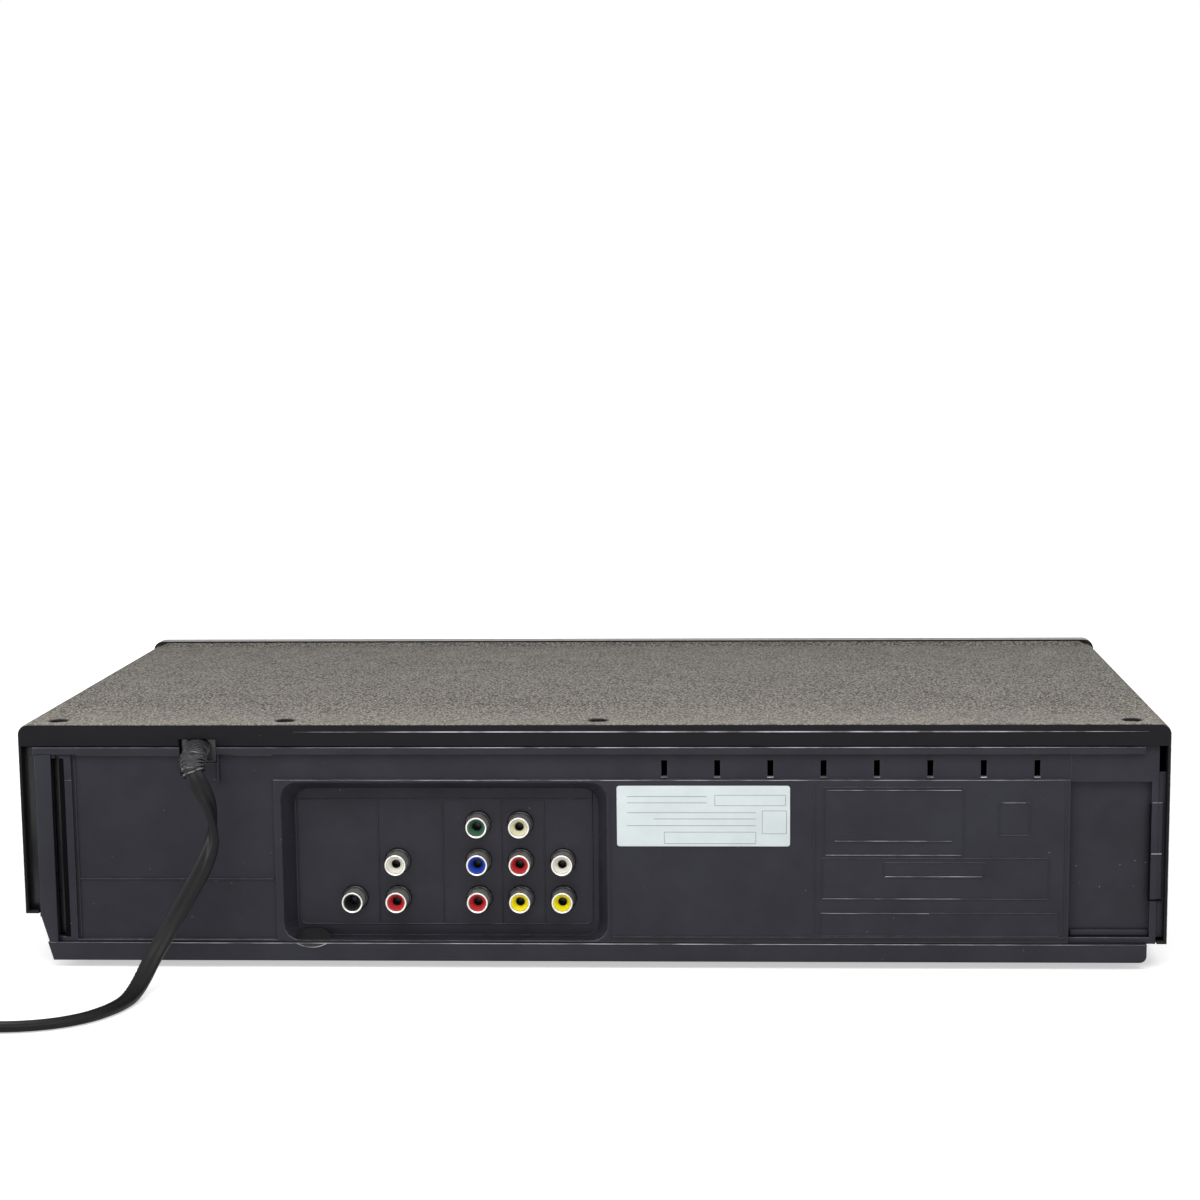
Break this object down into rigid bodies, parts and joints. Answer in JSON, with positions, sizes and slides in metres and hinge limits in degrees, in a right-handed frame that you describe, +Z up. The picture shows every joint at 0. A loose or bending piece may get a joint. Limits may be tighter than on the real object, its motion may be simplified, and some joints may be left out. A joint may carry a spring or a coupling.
{
  "type": "dvd vcr combo player",
  "caption": "Disc and cassette combo player with a disc tray, a front-loading cassette deck, rear phono jacks and a flat mains cord.",
  "frame": {"origin": "on the shelf plane, under the middle of the case without its cord", "axes": "+Z up, -Y out of the front panel, +Y out of the rear with the jacks, +X to the cord's side, which is the right as seen from the front"},
  "size_m": [0.5207, 0.4132, 0.0965],
  "materials": {
    "cover_paint": "leather-grain dark grey paint",
    "case_plastic": "fine-grained blue-black moulding",
    "panel_gloss": "polished black",
    "inner_plastic": "plain dark moulding",
    "grey_plastic": "plain grey moulding",
    "white_plastic": "plain off-white moulding",
    "button_plastic": "satin black",
    "bright_steel": "zinc-plated sheet",
    "dark_steel": "black oxide",
    "drum_alloy": "turned and polished",
    "transformer_iron": "varnished laminations",
    "green_board": "solder-masked laminate",
    "tan_board": "bare paper laminate",
    "smoked_window": "smoked clear moulding",
    "label_stock": "pale coated stock",
    "black_rubber": "soft black",
    "cord_plastic": "flexible black vinyl",
    "jack_black": "black insert in a plated sleeve",
    "jack_white": "white insert in a plated sleeve",
    "jack_red": "red insert in a plated sleeve",
    "jack_green": "green insert in a plated sleeve",
    "jack_blue": "blue insert in a plated sleeve",
    "jack_yellow": "yellow insert in a plated sleeve"
  },
  "bodies": {
    "case": {"top_cover": "cover_paint", "bottom_chassis": "case_plastic", "rear_panel": "case_plastic", "front_panel": "panel_gloss", "foot_front_right": "black_rubber", "foot_front_left": "black_rubber", "foot_rear_right": "black_rubber", "foot_rear_left": "black_rubber", "cover_screw_1": "dark_steel", "cover_screw_2": "dark_steel", "cover_screw_3": "dark_steel", "cover_screw_4": "dark_steel", "rating_label": "label_stock", "jack_coaxial_digital": "jack_black", "jack_disc_audio_left": "jack_white", "jack_disc_audio_right": "jack_red", "jack_component_green": "jack_green", "jack_component_blue": "jack_blue", "jack_component_red": "jack_red", "jack_audio_out_left": "jack_white", "jack_audio_out_right": "jack_red", "jack_video_out": "jack_yellow", "jack_audio_in": "jack_white", "jack_video_in": "jack_yellow", "front_jack_video": "jack_yellow", "front_jack_audio_left": "jack_white", "front_jack_audio_right": "jack_red", "main_board": "green_board", "jack_board": "tan_board", "power_board": "tan_board", "power_transformer": "transformer_iron", "front_board": "tan_board", "display_window": "smoked_window", "loader_frame": "inner_plastic", "spindle_motor": "bright_steel", "clamp_bridge": "bright_steel", "deck_chassis": "bright_steel", "cord_strain_relief": "cord_plastic", "cord_run": "cord_plastic", "cord_coil": "cord_plastic", "cord_tail": "cord_plastic", "cord_plug": "cord_plastic"},
    "tray": {"disc_tray": "inner_plastic", "tray_door": "panel_gloss"},
    "pinion": {"tray_pinion": "white_plastic"},
    "turntable_rotor": {"turntable": "grey_plastic"},
    "clamp": {"clamp_puck": "white_plastic"},
    "pickup": {"pickup_sled": "grey_plastic"},
    "flap": {"cassette_flap": "panel_gloss"},
    "holder": {"cassette_holder": "bright_steel"},
    "drum": {"head_drum": "drum_alloy"},
    "capstan_rotor": {"capstan": "bright_steel"},
    "pinch_arm": {"pinch_roller_arm": "black_rubber"},
    "supply_rotor": {"supply_reel": "white_plastic"},
    "takeup_rotor": {"takeup_reel": "white_plastic"},
    "power_button_cap": {"power_button": "button_plastic"},
    "cassette_eject_button_cap": {"cassette_eject_button": "button_plastic"},
    "cassette_play_button_cap": {"cassette_play_button": "button_plastic"},
    "tray_open_button_cap": {"tray_open_button": "button_plastic"},
    "disc_play_button_cap": {"disc_play_button": "button_plastic"}
  },
  "joints": [
    {"name": "tray_slide", "type": "slide", "parent": "case", "child": "tray", "axis": [0, -1, 0], "range_m": [0, 0.142]},
    {"name": "pinion_turn", "type": "hinge", "parent": "case", "child": "pinion", "pos_m": [0.0798, -0.096, 0.064], "axis": [0, 0, 1], "range_deg": [0, 905]},
    {"name": "turntable_spin", "type": "hinge", "parent": "case", "child": "turntable_rotor", "pos_m": [0.131, -0.04545, 0.06], "axis": [0, 0, 1], "continuous": true},
    {"name": "clamp_spin", "type": "hinge", "parent": "case", "child": "clamp", "pos_m": [0.131, -0.04545, 0.08], "axis": [0, 0, 1], "continuous": true},
    {"name": "pickup_slide", "type": "slide", "parent": "case", "child": "pickup", "axis": [0, 1, 0], "range_m": [0, 0.034]},
    {"name": "flap_swing", "type": "hinge", "parent": "case", "child": "flap", "pos_m": [-0.106, -0.1119, 0.0782], "axis": [1, 0, 0], "range_deg": [0, 80], "stiffness_Nm_per_rad": 0.002, "springref_deg": -34.38},
    {"name": "holder_drop", "type": "slide", "parent": "case", "child": "holder", "axis": [0, 0, -1], "range_m": [0, 0.024]},
    {"name": "drum_spin", "type": "hinge", "parent": "case", "child": "drum", "pos_m": [-0.106, 0.063, 0.026], "axis": [0, -0.0872, 0.9962], "continuous": true},
    {"name": "capstan_spin", "type": "hinge", "parent": "case", "child": "capstan_rotor", "pos_m": [-0.048, 0.036, 0.012], "axis": [0, 0, 1], "continuous": true},
    {"name": "pinch_arm_swing", "type": "hinge", "parent": "case", "child": "pinch_arm", "pos_m": [-0.026, 0.052, 0.025], "axis": [0, 0, 1], "range_deg": [0, 27]},
    {"name": "supply_spin", "type": "hinge", "parent": "case", "child": "supply_rotor", "pos_m": [-0.152, -0.034, 0.022], "axis": [0, 0, 1], "continuous": true},
    {"name": "takeup_spin", "type": "hinge", "parent": "case", "child": "takeup_rotor", "pos_m": [-0.06, -0.034, 0.022], "axis": [0, 0, 1], "continuous": true},
    {"name": "power_press", "type": "slide", "parent": "case", "child": "power_button_cap", "axis": [0, 1, 0], "range_m": [0, 0.0012], "stiffness_N_per_m": 800},
    {"name": "cassette_eject_press", "type": "slide", "parent": "case", "child": "cassette_eject_button_cap", "axis": [0, 1, 0], "range_m": [0, 0.0012], "stiffness_N_per_m": 800},
    {"name": "cassette_play_press", "type": "slide", "parent": "case", "child": "cassette_play_button_cap", "axis": [0, 1, 0], "range_m": [0, 0.0012], "stiffness_N_per_m": 800},
    {"name": "tray_open_press", "type": "slide", "parent": "case", "child": "tray_open_button_cap", "axis": [0, 1, 0], "range_m": [0, 0.0012], "stiffness_N_per_m": 800},
    {"name": "disc_play_press", "type": "slide", "parent": "case", "child": "disc_play_button_cap", "axis": [0, 1, 0], "range_m": [0, 0.0012], "stiffness_N_per_m": 800}
  ],
  "couplings": [
    {"joint": "pinion_turn", "follows": "tray_slide", "rad_per_m": 111.11},
    {"joint": "clamp_spin", "follows": "turntable_spin", "ratio": 1}
  ]
}
